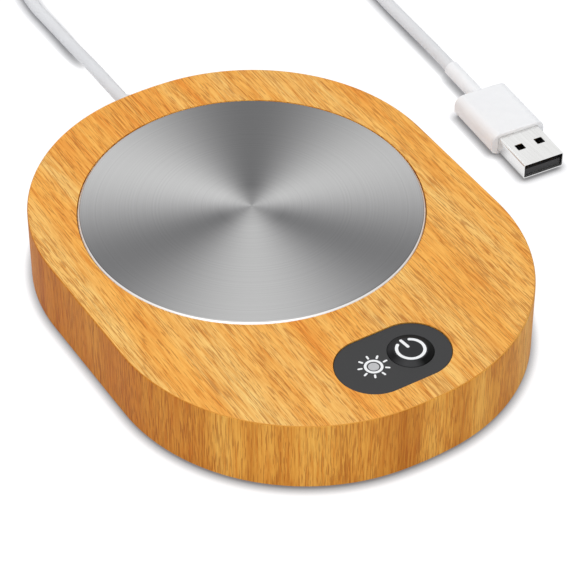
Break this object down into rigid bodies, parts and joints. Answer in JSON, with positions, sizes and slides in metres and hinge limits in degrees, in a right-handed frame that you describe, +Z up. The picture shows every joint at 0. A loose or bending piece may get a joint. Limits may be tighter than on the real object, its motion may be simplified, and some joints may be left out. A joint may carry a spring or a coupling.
{
  "type": "electric mug warmer",
  "caption": "Oval wooden mug warmer with a round metal hot plate, a dark control panel with a push button and a sun-shaped light, and a USB cord.",
  "frame": {"origin": "on the table under the middle of the case, cord left out", "axes": "+X right, seen from the control panel's end; +Y from the control panel towards the cord; +Z up"},
  "size_m": [0.1498, 0.2445, 0.0204],
  "materials": {
    "wood": "oiled, open grain",
    "black_plastic": "fine matt texture",
    "rubber": "soft matt",
    "dark_steel": "zinc plated, darkened",
    "plate_metal": "spun with fine rings, bright bevel",
    "silicone": "soft matt",
    "heater_film": "amber film with etched track",
    "insulation": "pressed fibre felt",
    "sheet_steel": "plain plated sheet",
    "epoxy": "dipped",
    "grey_plastic": "satin dark grey",
    "clear_plastic": "milky, lets light through",
    "board": "solder mask",
    "white_plastic": "satin white",
    "white_rubber": "soft satin white",
    "white_jacket": "smooth satin white",
    "wire_jacket": "thin insulation",
    "plug_metal": "bright nickel plate",
    "gold": "gold plated"
  },
  "bodies": {
    "case": {"board_screws": "dark_steel", "board_spacers": "white_plastic", "bottom_cover": "black_plastic", "capacitor": "sheet_steel", "chip_legs": "sheet_steel", "circuit_board": "board", "clamp_screws": "sheet_steel", "control_panel": "grey_plastic", "controller_chip": "black_plastic", "cord_coil": "white_jacket", "cord_grommet": "white_rubber", "cord_lead": "white_jacket", "cord_stop_band": "sheet_steel", "cord_tail": "white_jacket", "cord_tie": "white_rubber", "cover_screws": "dark_steel", "fuse_strap": "sheet_steel", "heater_element": "heater_film", "heater_leads": "wire_jacket", "heating_plate": "plate_metal", "indicator_lamp": "clear_plastic", "indicator_light_guide": "clear_plastic", "inner_cord": "white_jacket", "insulation_pad": "insulation", "plate_gasket": "silicone", "plug_boot": "white_rubber", "plug_contacts": "gold", "plug_grip": "white_plastic", "plug_shell": "plug_metal", "plug_tongue": "black_plastic", "power_transistor": "black_plastic", "pressure_plate": "sheet_steel", "resistors": "black_plastic", "rubber_feet": "rubber", "sensor_leads": "wire_jacket", "snap_dome": "sheet_steel", "supply_leads": "wire_jacket", "switch_base": "black_plastic", "switch_cover": "sheet_steel", "switch_legs": "sheet_steel", "temperature_sensor": "epoxy", "thermal_fuse": "sheet_steel", "wire_connector": "white_plastic", "wooden_case": "wood"},
    "button": {"power_button": "grey_plastic"},
    "plunger": {"switch_plunger": "black_plastic"}
  },
  "joints": [
    {"name": "button_press", "type": "slide", "parent": "case", "child": "button", "axis": [0, 0, -1], "range_m": [0, 0.0004], "stiffness_N_per_m": 1500, "springref_m": -0.0002},
    {"name": "plunger_press", "type": "slide", "parent": "case", "child": "plunger", "axis": [0, 0, -1], "range_m": [0, 0.0004], "deforming": ["snap_dome"]}
  ],
  "couplings": [
    {"joint": "plunger_press", "follows": "button_press", "ratio": 1}
  ]
}
